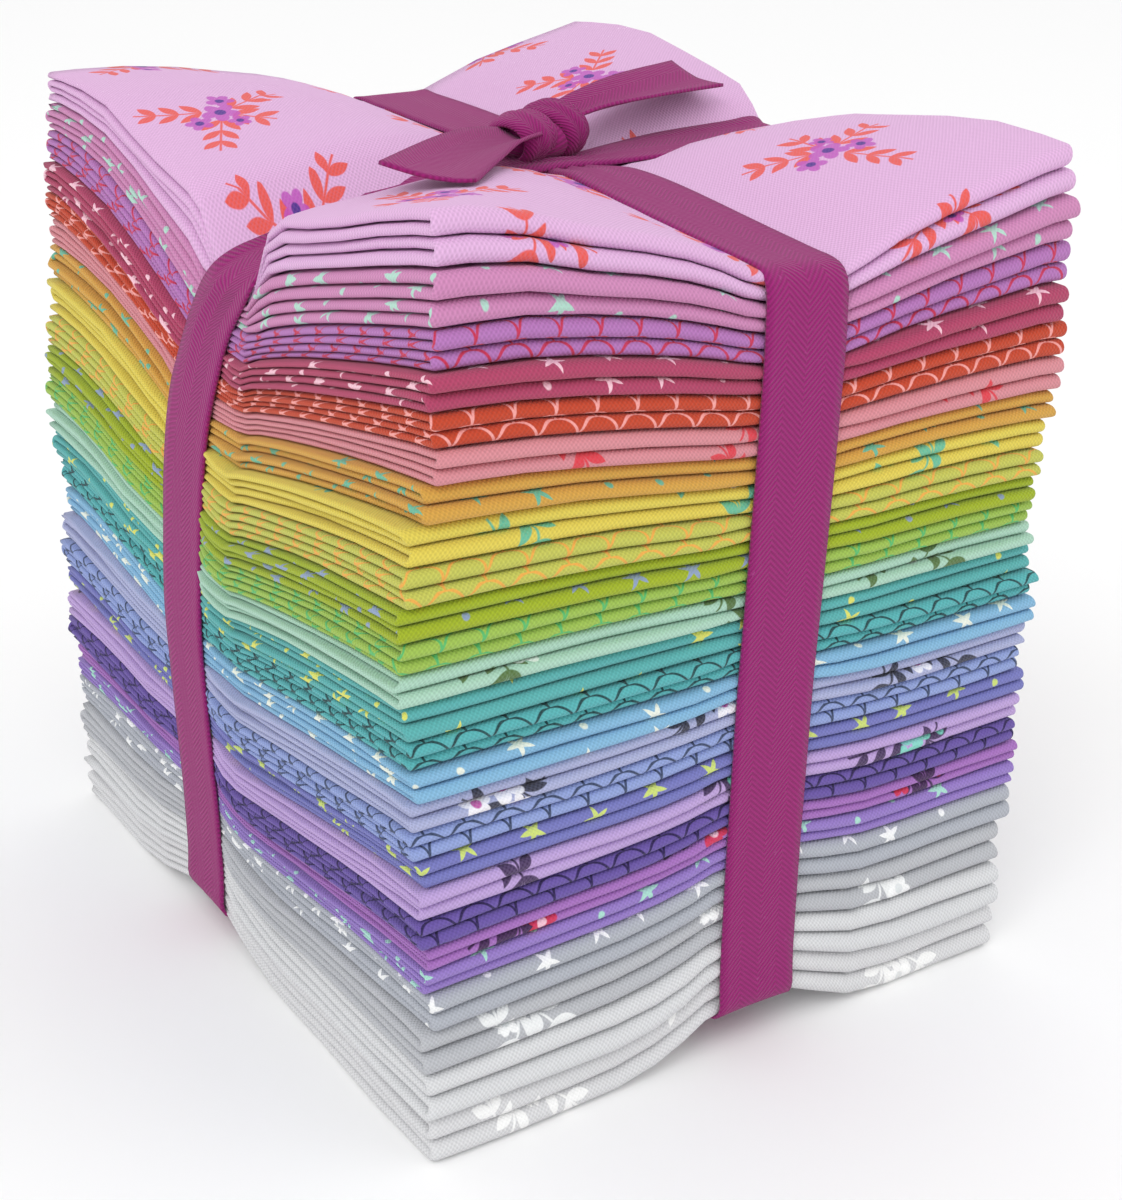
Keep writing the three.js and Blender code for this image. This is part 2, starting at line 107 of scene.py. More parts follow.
# The tape's middle on the stack's sides: level, left, right, front, back
TIE = [
    (0, 12, 10, 3.4, 4), (0.5, 12, 9, 5, 5), (0.63, 10.3, 8, 5.2, 6), (0.78, 6.2, 6.5, 5.3, 8),
    (0.86, 2.9, 4.5, 5.3, 9), (0.93, -1.9, 2, 5.3, 10), (1, -8, -1, 5.3, 12),
]

# Stations across the strip and along a pass, as shares of the half size
HALF_STATIONS = [0.11, 0.19, 0.29, 0.42, 0.58, 0.76, 0.92, 1]
STATIONS = np.array([-s for s in reversed(HALF_STATIONS)] + [0] + HALF_STATIONS)
PASS_STATIONS = np.array([
    -1, -0.92, -0.78, -0.62, -0.48, -0.36, -0.28, -0.22, -0.16, -0.1, -0.02,
    0.07, 0.13, 0.2, 0.31, 0.45, 0.62, 0.78, 0.92, 1,
])
ROUND_POINTS = 7
EDGE_POINTS = 5
INNER_POINTS = 3

# The cuts from top to bottom: folded height, shift, turn, ground colour, print and its inks
Cut = namedtuple("Cut", "height x y turn ground print inks")
CUTS = [
    Cut(7.4, 0.3, 0.2, 0.1, "DFB1DB", "sprigs", ("E0492E", "B84FB4", "3B2A86")),
    Cut(6.7, 0.4, -0.1, 0, "CC87B5", "stars", ("A9DCC8",)),
    Cut(5.9, 0.3, 0.1, 0.2, "B476B8", "scales", ("C2203A",)),
    Cut(5.6, -0.4, -0.4, 0.2, "B04266", "stars", ("F6CBD8",)),
    Cut(5.3, 0.6, -0.3, 0.4, "C4462A", "scales", ("F3A9A5",)),
    Cut(5.2, 1.1, -0.5, 0.4, "D88D96", "sprigs", ("D8303F", "F8F3F2", "D8303F")),
    Cut(5.6, 1.3, 0.3, 0, "D4A247", "stars", ("52B79F",)),
    Cut(5.7, 0.2, 0.4, -0.6, "DFCD56", "sprigs", ("4FB79E", "F8F6EA", "E97A3A")),
    Cut(5.4, -0.9, -0.4, -0.5, "C3C559", "scales", ("EAA44A",)),
    Cut(5.0, -1.4, -0.6, -0.6, "A0B327", "stars", ("8A9CC8",)),
    Cut(4.9, -1.4, 0.1, -0.4, "9EC054", "scales", ("4DB56E",)),
    Cut(4.7, -0.8, 0.5, -0.4, "ACD3BF", "sprigs", ("4A641E", "F5F8F3", "2E7F9E")),
    Cut(5.2, -0.4, 0.4, -0.3, "5CB0AF", "stars", ("E2DE5C",)),
    Cut(5.0, 0.6, -0.2, -0.4, "58B1B4", "scales", ("14272C",)),
    Cut(4.9, 1, -0.6, -0.4, "85B7D9", "stars", ("EEF0DF",)),
    Cut(4.7, 0.2, 0, -0.1, "ADB2D6", "sprigs", ("16141F", "F3F1F6", "B83A9A")),
    Cut(5.0, -0.3, 0.3, 0.1, "92A3D7", "scales", ("26324A",)),
    Cut(4.6, 0.6, 0.5, 0.4, "787ABD", "stars", ("CFE06A",)),
    Cut(4.9, -0.4, -0.2, 0.5, "BEA2D8", "sprigs", ("2B1440", "7FD8C4", "C0409C")),
    Cut(4.6, -0.6, 0, 0.4, "6B56A4", "scales", ("1E1240",)),
    Cut(4.1, 0.6, 0.2, 0.5, "A771BE", "sprigs", ("2A1538", "D02A44", "F3C9D8")),
    Cut(4.2, 0.5, -0.1, 0.4, "977CC6", "stars", ("A8E0CC",)),
    Cut(6.6, 0.4, 0.3, 0.6, "B1B5BE", "stars", ("F4F5F5",)),
    Cut(7.2, -0.3, -0.3, 0.4, "BBBDC2", "sprigs", ("EFF1F1", "F6F7F7", "D9DDDF")),
    Cut(7.6, -0.4, -0.2, 0.3, "DADBDD", "plain", ()),
    Cut(8.5, 0.3, 0.1, 0.4, "DCDCDE", "sprigs", ("F7F7F6", "F9F9F8", "DCDEDE")),
]
STACK_HEIGHT = sum(cut.height for cut in CUTS)

# The tape
TAPE_WIDTH = 14.6
TAPE_THICK = 0.55
TAPE_CLEAR = 0.62  # from the cloth to the tape's middle
TAPE_STEP = 0.7
TAPE_POINTS = 11
TAPE_SPACING = 1.5
TAPE_SOFTEN = 5
TAPE_STEP_REACH = 16
FACE_POINTS = 60
TOP_POINTS = 90
CORNER_SWING = 0.8
SWING_ZONE = 0.1
CREASE = {"at": 0.45, "width": 0.22, "from": 0.72, "over": 0.2, "depth": 0.9}
PLEAT = {"height": 0.45, "reach": 13}
TAPE_COLOUR = "9B1D72"
KNOT_AT = (5.3, 0)
KNOT_NARROW = 0.45
KNOT_REACH = 14
# Knot bands: place, height over the crossing, axis, radii and half width
KNOT_BANDS = [
    {"at": (0.2, -0.8, 4.4), "axis": (0.93, 0.34, 0.12), "radii": (5.4, 4.0), "half": 4.2},
    {"at": (7.7, 1.4, 4.8), "axis": (0.85, 0.45, 0.3), "radii": (6.0, 4.6), "half": 3.0},
]
KNOT_CORE = {"at": (3.6, 0.2, 3.8), "radii": (7.2, 4.6, 3.4)}
BAND_TURN = (-0.35, 2 * math.pi - 0.05)
BAND_POINTS = 48
CORE_POINTS = (13, 25)
CORE_OPEN = 0.02
END_POINTS = 40
# Free ends from the knot out: place, height over the crossing, half width, cup and tilt
FREE_ENDS = [
    [
        (1, -1.5, 4.4, 3.4, 1.2, 0), (-11, -11, 5.6, 4.6, 2, -0.6), (-23, -22, 6.8, 5.8, 1.4, -1),
        (-36, -34, 7.6, 7.2, 0.6, -1),
    ],
    [
        (6.4, 1.5, 5.2, 3.4, 1, 0), (17, 4, 6.8, 4.4, 1.8, 0.4), (29, 7.5, 7.8, 5.4, 1.6, 1),
        (45, 12, 8.6, 6, 1, 1.4),
    ],
]

# The photo's view and the light
CAMERA_AT = (-0.17881, -0.29073, 0.20141)
CAMERA_WAY = (0.49975, 0.77108, -0.39456)
CAMERA_ROLL = 0.682
CAMERA_LENS = 61.909
SENSOR_WIDTH = 36
CLIP_START = 0.01
FLOOR_HALF = 6
FLOOR_TONE = 0.95
FLOOR_ROUGHNESS = 0.9
WORLD_STRENGTH = 0.98
LIGHT_AIM = (0, 0, 0.07)
# Softboxes: name, place, size and power
SOFTBOXES = [("key", (-0.85, -0.65, 1.1), 0.7, 5), ("fill", (0.7, -0.9, 0.9), 0.8, 1)]


# Reading tables, straight or eased through the rows without overshoot
def straight(rows, column, s):
    return np.interp(s, [r[0] for r in rows], [r[column] for r in rows])


def eased(rows, column, s):
    xs = np.array([r[0] for r in rows], float)
    ys = np.array([r[column] for r in rows], float)
    steps = np.diff(xs)
    slopes = np.diff(ys) / steps
    product = slopes[:-1] * slopes[1:]
    total = np.where(product > 0, slopes[:-1] + slopes[1:], 1)
    tangents = np.concatenate([[0], np.where(product > 0, 2 * product / total, 0), [slopes[-1]]])
    k = np.clip(np.searchsorted(xs, s, "right") - 1, 0, len(xs) - 2)
    t = np.clip((s - xs[k]) / steps[k], 0, 1)
    rise = ys[k] * (1 + 2 * t) * (1 - t) ** 2 + ys[k + 1] * t * t * (3 - 2 * t)
    bend = tangents[k] * t * (1 - t) ** 2 - tangents[k + 1] * t * t * (1 - t)
    return rise + steps[k] * bend


# Where the tape's middle runs at a level, at a place along its way from -1 to 1
def tie_at(axis, level, place):
    if axis == "x":
        share = (1 + place) / 2
        return straight(TIE, 1, level) * (1 - share) + straight(TIE, 2, level) * share
    share = np.clip(place, 0, 1)
    return straight(TIE, 3, level) * (1 - share) + straight(TIE, 4, level) * share


# Shift of the stack at a level, at a place from one side to the other
def side_shift(axis, level, place):
    first, second = (1, 2) if axis == "x" else (3, 4)
    return straight(SIDES, first, level) * (1 - place) / 2 + straight(SIDES, second, level) * (1 + place) / 2


# Dip of the stack at a level under both ways of the tape
def dip_at(u, v, level):
    sharp = np.clip((level - SHARP_FROM) / (1 - SHARP_FROM), 0, 1)

    def valley(rows, away):
        away = np.clip(np.abs(away), 0, 1)
        return eased(rows, 1, away) * sharp + eased(rows, 2, away) * (1 - sharp)

    off = straight(DIPS, 2, level) * (1 - u) / 2
    from_short = v - (tie_at("x", level, u) + off) / HALF_LENGTH
    from_short = from_short * (sharp + (1 - sharp) * np.where(from_short < 0, *SPREAD))
    from_long = u - tie_at("y", level, v) / HALF_WIDTH
    short = eased(DIPS, 1, level) * eased(WAYS, 1, u) * valley(VALLEY_SHORT, from_short)
    long = eased(DIPS, 3, level) * eased(WAYS, 2, v) * valley(VALLEY_LONG, from_long)
    return (short**JOIN_POWER + long**JOIN_POWER) ** (1 / JOIN_POWER)


# Rise of the underside over the tape
def rise_at(u, v):
    from_short = np.clip(np.abs(v - tie_at("x", 0, u) / HALF_LENGTH), 0, 1)
    from_long = np.clip(np.abs(u - tie_at("y", 0, v) / HALF_WIDTH), 0, 1)
    short = eased(RISE, 1, from_short)
    long = eased(RISE, 2, from_long)
    return (short**JOIN_POWER + long**JOIN_POWER) ** (1 / JOIN_POWER)


# Lift between the stack's corners
def corner_lift(u, v, level):
    near, left, right, back = [straight(CORNERS, k, level) for k in (1, 2, 3, 4)]
    front_side = near * (1 - u) + right * (1 + u)
    back_side = left * (1 - u) + back * (1 + u)
    return (front_side * (1 - v) + back_side * (1 + v)) / 4


# Crown of the four lobes between the ways of the tape
def lobe_crown(u, v):
    start, span, shown = LOBE_SPAN

    def hump(s):
        share = shown * np.clip((np.abs(s) - start) / span, 0, 1)
        return 4 * share * (1 - share)

    # The near lobe lies flatter than the other three
    swell = LOBE_CROWN * (1 - NEAR_FLATTER * (1 - u) * (1 - v) / 4)
    return swell * hump(u - tie_at("y", 1, v) / HALF_WIDTH) * hump(v - tie_at("x", 1, u) / HALF_LENGTH)


# Low waves all through the stack
def relief(x, y, level):
    over_x, over_y, slanted = RELIEF
    waves = over_x * np.sin(x / 17 + 9 * level) + over_y * np.sin(y / 21 - 7 * level + 1)
    waves = waves + slanted * np.sin((x + y) / 13 + 15 * level)
    return waves * np.clip(level * 5, 0, 1)


# Height of the squeezed stack at a level from 0, its underside, to 1, its top
def height_at(x, y, level):
    u = np.clip(x / HALF_WIDTH, -1, 1)
    v = np.clip(y / HALF_LENGTH, -1, 1)
    free = level * STACK_HEIGHT + corner_lift(u, v, level)
    crown = level**CROWN_POWER * lobe_crown(u, v)
    return free - dip_at(u, v, level) + crown + (1 - level) ** RISE_POWER * rise_at(u, v) + relief(x, y, level)


# How far the tape's press takes over from a cut's own place, at a distance from the tape's middle
def pressed(distance):
    return np.exp(-((np.abs(distance) / PRESS_REACH) ** 4))


# A cut's edge wanders a little
def wobble(s, phases):
    long, short = EDGE_WAVES
    return long * np.sin(s / 11 + phases[0]) + short * np.sin(s / 5.3 + phases[1])


# The section across a folded strip: its four layers from raw edge to raw edge, as place, overhang and depth
def strip_section():
    def arc(points, start):
        return np.radians(np.linspace(start, -start, points + 2)[1:-1])

    def layer(places, depth):
        return places, 0 * places, 0 * places + depth

    outer = arc(EDGE_POINTS, -90)
    small = arc(INNER_POINTS, 90)
    # Layers lie an eighth, three, five and seven eighths deep; a wide round holds two tight ones
    parts = [
        layer(STATIONS[::-1], 0.125),
        (0 * outer - 1, -np.cos(outer), 0.5 + 0.375 * np.sin(outer)),
        layer(STATIONS, 0.875),
        (0 * small + 1, 0.4 * np.cos(small), 0.75 + 0.125 * np.sin(small)),
        layer(STATIONS[::-1], 0.625),
        (0 * small - 1, -0.35 * np.cos(small), 0.5 + 0.125 * np.sin(small)),
        layer(STATIONS, 0.375),
    ]
    return [np.concatenate([part[k] for part in parts])[None, :] for k in range(3)]


SECTION = strip_section()


# A cut's sheet: a grid of points from one raw end to the other, and the flat place of each point
def folded_sheet(index, cut, low, high):
    rng = np.random.default_rng(SEED + index)
    share, over, depth = SECTION
    middle = (low + high) / 2
    turn = math.radians(cut.turn)
    weights = 1 + PASS_SPREAD * rng.uniform(-1, 1, PASS_COUNT)
    weights = weights / weights.sum()
    edge_shift = rng.normal(0, EDGE_SCATTER, (PASS_COUNT, 2))
    fold_shift = rng.normal(0, FOLD_SCATTER, PASS_COUNT)
    phases = rng.uniform(0, 6.3, (PASS_COUNT, 4))
    end_ragged = rng.uniform(*END_RAGGED, (2, 4))
    side_reach = SIDE_REACH * cut.height / PASS_COUNT
    fold_reach = FOLD_REACH * cut.height / PASS_COUNT

    def across(k, y):
        own = cut.x - turn * y
        press = pressed(y - tie_at("x", middle, -1))
        left = (1 - press) * (own + edge_shift[k, 0] + wobble(y, phases[k, :2])) + press * PRESS
        press = pressed(y - tie_at("x", middle, 1))
        right = (1 - press) * (own + edge_shift[k, 1] + wobble(y, phases[k, 2:])) - press * PRESS
        shift = left * (1 - share) / 2 + right * (1 + share) / 2 + side_shift("x", middle, share)
        return share * (HALF_WIDTH - side_reach) + shift + side_reach * over

    def along(k, v, x):
        fold = [0, 0, 2, 2][k]
        own = cut.y + turn * x
        press = pressed(x - tie_at("y", middle, -1))
        front = (1 - press) * (own + fold_shift[fold] + wobble(x, phases[fold, 1:3])) + press * PRESS
        press = pressed(x - tie_at("y", middle, 1))
        back = (1 - press) * (own + fold_shift[1] + wobble(x, phases[1, :2])) - press * PRESS
        inset = CUT_END_INSET if k in (0, PASS_COUNT - 1) else fold_reach
        shift = front * (1 - v) / 2 + back * (1 + v) / 2 + side_shift("y", middle, v)
        ends = np.where(v < 0, HALF_LENGTH - fold_reach, HALF_LENGTH - inset)
        return v * ends + shift

    def passes(x, y):
        top = height_at(x, y, high) - PIECE_GAP / 2
        base = height_at(x, y, low) + PIECE_GAP / 2
        room = top - base - (PASS_COUNT - 1) * PASS_GAP
        thick = [room * w for w in weights]
        tops = []
        for k in range(PASS_COUNT):
            tops.append(top)
            top = top - thick[k] - PASS_GAP
        return tops, thick

    def flat_pass(k):
        v = (PASS_STATIONS if k % 2 else PASS_STATIONS[::-1])[:, None]
        x = across(k, v * HALF_LENGTH)
        y = along(k, v, x)
        if k in (0, PASS_COUNT - 1):
            ragged = end_ragged[0 if k == 0 else 1][np.floor(depth * 3.99).astype(int)]
            y = y + ragged * np.clip((v - 1 + END_ZONE) / END_ZONE, 0, 1)
        tops, thick = passes(x, y)
        inward = depth if k % 2 else 1 - depth
        return np.stack(np.broadcast_arrays(x, y, tops[k] - inward * thick[k]), axis=-1)

    def fold_round(k):
        front = k % 2 == 0
        v = -1 if front else 1
        angle = np.radians(np.linspace(90, -90, ROUND_POINTS + 2)[1:-1])[:, None]
        upper = across(k, np.array(v * HALF_LENGTH))
        lower = across(k + 1, np.array(v * HALF_LENGTH))
        lowered = (1 - np.sin(angle)) / 2
        x = upper * (1 - lowered) + lower * lowered
        y = along(k, v, x)
        tops, thick = passes(x, y)
        outward = depth if front else 1 - depth
        centre = tops[k + 1] + PASS_GAP / 2
        room = np.where(angle > 0, thick[k], thick[k + 1])
        z = centre + (PASS_GAP / 2 + outward * room) * np.sin(angle)
        full = PASS_GAP / 2 + (thick[k] + thick[k + 1]) / 2
        reach = fold_reach * (PASS_GAP / 2 + outward * (full - PASS_GAP / 2)) / full
        return np.stack(np.broadcast_arrays(x, y + v * reach * np.cos(angle), z), axis=-1)

    blocks = []
    for k in range(PASS_COUNT):
        blocks.append(flat_pass(k))
        if k < PASS_COUNT - 1:
            blocks.append(fold_round(k))
    grid = np.concatenate(blocks)
    outer_columns = [STATIONS.size // 2, STATIONS.size * 3 // 2 + EDGE_POINTS]
    steps = np.linalg.norm(np.diff(grid[:, outer_columns], axis=0), axis=2).max(axis=1)
    run = np.concatenate([[0], np.cumsum(steps)])
    row = np.concatenate([share * HALF_WIDTH + over, depth * cut.height / 4])
    wide = np.concatenate([[0], np.cumsum(np.linalg.norm(np.diff(row, axis=1), axis=0))])
    flat = np.stack(np.broadcast_arrays(wide[None, :], run[:, None]), axis=-1)
    return grid, flat


# A closed thin sheet from a grid of points: its right side, its wrong side and its rim
def sheet_arrays(grid, flat, thick):
    rows, columns = grid.shape[:2]
    normal = np.cross(np.gradient(grid, axis=0), np.gradient(grid, axis=1))
    normal = normal / np.maximum(np.linalg.norm(normal, axis=2, keepdims=True), 1e-9)
    points = np.concatenate([grid + normal * thick / 2, grid - normal * thick / 2]).reshape(-1, 3)
    index = np.arange(rows * columns).reshape(rows, columns)
    under = index + rows * columns

    def quads(a, b, c, d):
        return np.stack([a, b, c, d], axis=-1).reshape(-1, 4)

    # Every quad splits along the same slant seen from above, so layers that lie on each other stay parallel
    slant = grid[1:, 1:] - grid[:-1, :-1]
    other = (slant[:, :, 0] * slant[:, :, 1] < 0).reshape(-1, 1)
    right = quads(index[:-1, :-1], index[1:, :-1], index[1:, 1:], index[:-1, 1:])
    right = np.where(other, np.roll(right, 1, axis=1), right)
    wrong = quads(under[:-1, :-1], under[:-1, 1:], under[1:, 1:], under[1:, :-1])
    wrong = np.where(other, np.roll(wrong, 1, axis=1), wrong)
    around = np.concatenate([index[0, :-1], index[:-1, -1], index[-1, :0:-1], index[:0:-1, 0]])
    after = np.roll(around, -1)
    rim = quads(around, after, after + rows * columns, around + rows * columns)
    faces = np.concatenate([right, wrong, rim])
    slots = np.concatenate([np.zeros(len(right)), np.ones(len(wrong) + len(rim))])
    return points, faces, slots, np.concatenate([flat.reshape(-1, 2)] * 2)


# Several sheets as one mesh
def join_arrays(parts):
    points, faces, slots, flats = [], [], [], []
    count = 0
    for p, f, s, uv in parts:
        points.append(p)
        faces.append(f + count)
        slots.append(s)
        flats.append(uv)
        count += len(p)
    return np.concatenate(points), np.concatenate(faces), np.concatenate(slots), np.concatenate(flats)


# A smooth mesh object with its flat places in the map "cloth"
def mesh_object(name, arrays, materials):
    points, faces, slots, flat = arrays
    mesh = bpy.data.meshes.new(name)
    mesh.from_pydata((points * MM).tolist(), [], faces.tolist())
    for material in materials:
        mesh.materials.append(material)
    mesh.polygons.foreach_set("material_index", slots.astype(np.int32))
    mesh.polygons.foreach_set("use_smooth", np.ones(len(faces), bool))
    layer = mesh.uv_layers.new(name="cloth")
    layer.data.foreach_set("uv", (flat[faces.reshape(-1)] * MM).astype(np.float32).reshape(-1))
    mesh.update()
    obj = bpy.data.objects.new(name, mesh)
    bpy.context.scene.collection.objects.link(obj)
    return obj


# Shader numbers with ordinary arithmetic
class Field:
    def __init__(self, tree, out):
        self.tree = tree
        self.out = out

    def do(self, operation, *others):
        node = self.tree.nodes.new("ShaderNodeMath")
        node.operation = operation
        for socket, value in zip(node.inputs, (self, *others)):
            if isinstance(value, Field):
                self.tree.links.new(value.out, socket)
            else:
                socket.default_value = value
        return Field(self.tree, node.outputs[0])

    def __add__(self, other):
        return self.do("ADD", other)

    def __sub__(self, other):
        return self.do("SUBTRACT", other)

    def __mul__(self, other):
        return self.do("MULTIPLY", other)

    def __truediv__(self, other):
        return self.do("DIVIDE", other)

    def flip(self):
        return self * -1 + 1

    def size(self):
        return self.do("ABSOLUTE")

    def part(self):
        return self.do("FRACT")

    def whole(self):
        return self.do("FLOOR")

    def sine(self):
        return self.do("SINE")

    def cosine(self):
        return self.do("COSINE")

    # 0 below start, 1 above end
    def ramp(self, start, end):
        node = self.tree.nodes.new("ShaderNodeMapRange")
        node.interpolation_type = "SMOOTHSTEP"
        self.tree.links.new(self.out, node.inputs["Value"])
        node.inputs["From Min"].default_value = start
        node.inputs["From Max"].default_value = end
        return Field(self.tree, node.outputs["Result"])


def length_of(x, y):
    return (x * x + y * y).do("SQRT")


def turned(x, y, angle):
    if isinstance(angle, Field):
        c, s = angle.cosine(), angle.sine()
    else:
        c, s = math.cos(angle), math.sin(angle)
    return x * c + y * s, y * c - x * s


# Three random numbers for each cell of a lattice
def dice(column, row, seed):
    tree = column.tree
    place = tree.nodes.new("ShaderNodeCombineXYZ")
    tree.links.new((column + 0.5).out, place.inputs[0])
    tree.links.new((row + 0.5).out, place.inputs[1])
    place.inputs[2].default_value = seed
    noise = tree.nodes.new("ShaderNodeTexWhiteNoise")
    noise.noise_dimensions = "3D"
    tree.links.new(place.outputs[0], noise.inputs["Vector"])
    split = tree.nodes.new("ShaderNodeSeparateColor")
    tree.links.new(noise.outputs["Color"], split.inputs[0])
    return [Field(tree, out) for out in split.outputs]


# A colour as six hexadecimal digits, made linear
def colour(text):
    parts = [int(text[k : k + 2], 16) / 255 for k in (0, 2, 4)]
    return [p / 12.92 if p <= 0.04045 else ((p + 0.055) / 1.055) ** 2.4 for p in parts] + [1]


# A colour over another where a mask says so
def blend(tree, mask, under, over):
    node = tree.nodes.new("ShaderNodeMix")
    node.data_type = "RGBA"
    tree.links.new(mask.out, node.inputs[0])
    for socket, value in ((node.inputs[6], under), (node.inputs[7], over)):
        if isinstance(value, list):
            socket.default_value = value
        else:
            tree.links.new(value, socket)
    return node.outputs[2]


# Prints: each takes the flat place in millimetres and gives a list of masks, one for each ink
SOFT = 0.12  # width of a printed edge
SCALE_RADIUS = 3.3
SCALE_LINE = (0.035, 0.085)  # half the line and its soft edge, in radii
STAR_CELL = 10
STAR_SCATTER = 3
STAR_SHARE = 0.45  # share of the cells that hold a dot and not a star
STAR_ARMS = 5
STAR_RADII = (0.8, 1.5)  # inside, and how much further the arms reach
DOT_RADIUS = 0.6


def print_plain(a, b, seed):
    return []


# A net of half-round scales drawn in thin lines
def print_scales(a, b, seed):
    row = (b / SCALE_RADIUS).whole()
    x = ((a / (2 * SCALE_RADIUS) + row * 0.5).part() - 0.5) * 2
    y = (b / SCALE_RADIUS).part().flip()
    away = (length_of(x, y) - 1).size()
    return [away.ramp(*SCALE_LINE).flip()]


# Small stars and dots scattered on a loose lattice
def print_stars(a, b, seed):
    column = (a / STAR_CELL).whole()
    row = (b / STAR_CELL).whole()
    one, two, three = dice(column, row, seed)
    x = ((a / STAR_CELL).part() - 0.5) * STAR_CELL - (one - 0.5) * STAR_SCATTER
    y = ((b / STAR_CELL).part() - 0.5) * STAR_CELL - (two - 0.5) * STAR_SCATTER
    away = length_of(x, y)
    angle = y.do("ARCTAN2", x) + three * 6
    spoke = ((angle * (STAR_ARMS / (2 * math.pi))).part() - 0.5).size() * 2
    star = three.ramp(STAR_SHARE, STAR_SHARE + 0.01)
    inside, arms = STAR_RADII
    rim = (spoke * spoke * arms + inside) * star + star.flip() * DOT_RADIUS
    return [(rim - away).ramp(-SOFT, SOFT)]


# Sprigs: a few round flowers between fronds of paired leaves, each turned its own way on a half-drop lattice
# A frond: where it starts, its angle and its pairs of leaves; a flower: its place and radius
FRONDS = [(2, 0.8, 12, 3), (-1.6, 1.4, 152, 3), (0.6, 1.8, 78, 2), (-1, -1.8, 236, 3)]
FLOWERS = [(0.2, 0.2, 2.6), (3.6, -1.9, 2), (-3.8, -0.6, 1.9), (-0.6, 3.6, 1.6)]
SPRIG_CELL = (38, 37)
SPRIG_SCATTER = (4, 5)
SPRIG_SIZE = 1.3
LEAF_PITCH = 3
LEAF_LENGTH = 4
LEAF_SHORTER = 0.35  # from one pair to the next
LEAF_FULL = 2.9
LEAF_ANGLE = math.radians(40)
STEM_HALF = 0.16
PETAL_REACH = (0.6, 0.42)  # inside, and how much further the petals reach, in radii
HEART = 0.26


# A stem with paired leaves that get shorter towards its tip
def frond(x, y, row):
    base_x, base_y, angle, count = row
    along, side = turned(x - base_x, y - base_y, math.radians(angle))
    side = side.size()
    cell = (along / LEAF_PITCH).whole()
    grown = along.ramp(0, 0.1) * along.ramp(count * LEAF_PITCH, count * LEAF_PITCH + 0.1).flip()
    stem = (side * -1 + STEM_HALF).ramp(-0.1, 0.1)
    tip, width = turned(along - cell * LEAF_PITCH, side, LEAF_ANGLE)
    share = tip / (cell * -LEAF_SHORTER + LEAF_LENGTH)
    leaf = (share * share.flip() * LEAF_FULL - width.size()).ramp(-SOFT / 2, SOFT)
    return stem.do("MAXIMUM", leaf) * grown


# The strongest of several masks
def most(masks):
    found = masks[0]
    for mask in masks[1:]:
        found = found.do("MAXIMUM", mask)
    return found


def print_sprigs(a, b, seed):
    across, down = SPRIG_CELL
    column = (a / across).whole()
    drop = b / down + column * 0.5
    row = drop.whole()
    one, two, three = dice(column, row, seed)
    x = (((a / across).part() - 0.5) * across - (one - 0.5) * SPRIG_SCATTER[0]) / SPRIG_SIZE
    y = ((drop.part() - 0.5) * down - (two - 0.5) * SPRIG_SCATTER[1]) / SPRIG_SIZE
    x, y = turned(x, y, three * 6.28)
    inside, petals = PETAL_REACH

    def flower(row):
        fx, fy, radius = row
        px, py = x - fx, y - fy
        away = length_of(px, py)
        petal = (py.do("ARCTAN2", px) * 2.5 + fx).cosine().size()
        head = ((petal * petals + inside) * radius - away).ramp(-SOFT, SOFT)
        heart = away.ramp(radius * HEART, radius * HEART + 0.2).flip()
        return head, heart

    heads, hearts = zip(*[flower(r) for r in FLOWERS])
    return [most([frond(x, y, r) for r in FRONDS]), most(heads), most(hearts)]


PRINTS = {"plain": print_plain, "scales": print_scales, "stars": print_stars, "sprigs": print_sprigs}
THREAD = 0.37
# The two shares paint shade into the weave's hollows and a highlight onto its crowns
THREAD_SHADE = (0.79, 1.04)  # darkest and palest threads, as shares of the ground
THREAD_RELIEF = 0.05
INK_COVER = (0.88, 0.08)  # how far ink covers the ground, and how much the threads change that
WRONG_SIDE_PALE = 0.55
WRONG_SIDE_TONE = 0.82
WRONG_SIDE_SHADE = 0.8
WRONG_SIDE_RELIEF = 0.03
FINISH = {"Roughness": 0.92, "Specular IOR Level": 0.18, "Sheen Weight": 0.12, "Sheen Roughness": 0.6}


# A material whose nodes read the flat place on the cloth, in millimetres
def new_material(name):
    material = bpy.data.materials.new(name)
    material.use_nodes = True
    tree = material.node_tree
    shader = tree.nodes["Principled BSDF"]
    place = tree.nodes.new("ShaderNodeUVMap")
    place.uv_map = "cloth"
    split = tree.nodes.new("ShaderNodeSeparateXYZ")
    tree.links.new(place.outputs[0], split.inputs[0])
    a = Field(tree, split.outputs[0]) / MM
    b = Field(tree, split.outputs[1]) / MM
    return material, tree, shader, a, b


# A matt cloth finish with its colour and relief
def finish_cloth(tree, shader, ground, height, depth):
    for name, value in FINISH.items():
        shader.inputs[name].default_value = value
    bump = tree.nodes.new("ShaderNodeBump")
    bump.inputs["Distance"].default_value = depth * MM
    bump.inputs["Strength"].default_value = 1
    tree.links.new(height.out, bump.inputs["Height"])
    tree.links.new(bump.outputs[0], shader.inputs["Normal"])
    tree.links.new(ground, shader.inputs["Base Color"])


# Plain weave: threads over and under both ways
def weave_of(a, b):
    return (a * (math.pi / THREAD)).sine() * (b * (math.pi / THREAD)).sine()


def cotton(index, cut):
    material, tree, shader, a, b = new_material(f"cotton_{index + 1:02d}")
    weave = weave_of(a, b)
    ground = colour(cut.ground)
    # Painted shade and painted highlight: the weave's hollows are darker and its crowns paler, following the
    # bump's relief
    dark, pale = [[share * c for c in ground[:3]] + [1] for share in THREAD_SHADE]
    paint = blend(tree, weave * 0.5 + 0.5, dark, pale)
    cover, change = INK_COVER
    for mask, ink in zip(PRINTS[cut.print](a, b, index * 7.3), cut.inks):
        paint = blend(tree, mask * (weave * change + cover), paint, colour(ink))
    finish_cloth(tree, shader, paint, weave, THREAD_RELIEF)
    return material


